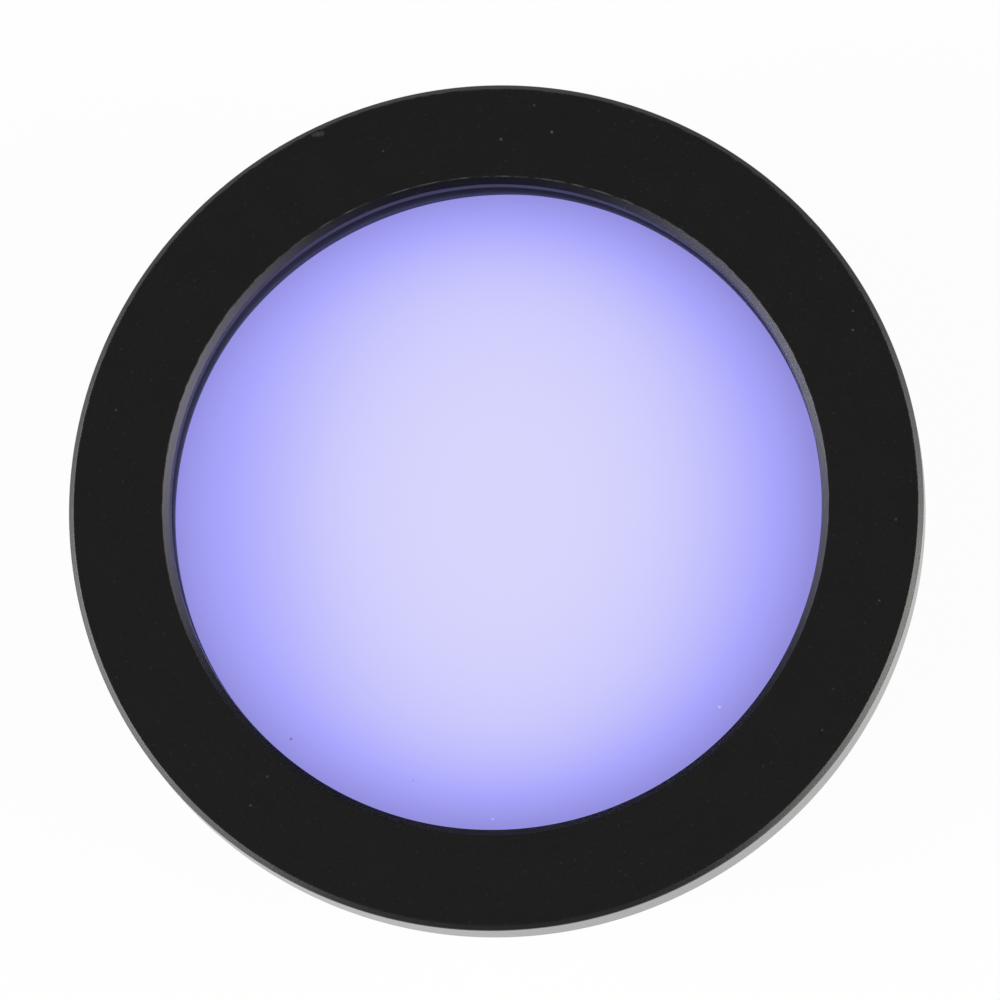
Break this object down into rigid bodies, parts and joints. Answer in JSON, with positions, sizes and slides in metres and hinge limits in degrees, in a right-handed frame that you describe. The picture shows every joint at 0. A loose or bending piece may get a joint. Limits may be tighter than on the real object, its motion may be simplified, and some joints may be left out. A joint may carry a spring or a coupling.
{
  "type": "telescope color filter",
  "caption": "Round lavender glass filter in a black turned cell with a wide flat front flange and a threaded collar that screws into a telescope eyepiece.",
  "frame": {"origin": "centre of the end of the threaded collar, on the optical axis, where the filter stands on a table", "axes": "+Z along the optical axis, out of the flat front face; the part is round about Z; the spanner slots of the retaining ring lie along X"},
  "size_m": [0.031, 0.031, 0.006],
  "materials": {
    "anodised_cell": "matte black anodised, fine turned",
    "lavender_glass": "polished, lavender tint",
    "anodised_ring": "matte black anodised, fine turned"
  },
  "bodies": {
    "root": {"filter_cell": "anodised_cell", "filter_glass": "lavender_glass", "retaining_ring": "anodised_ring"}
  },
  "joints": []
}
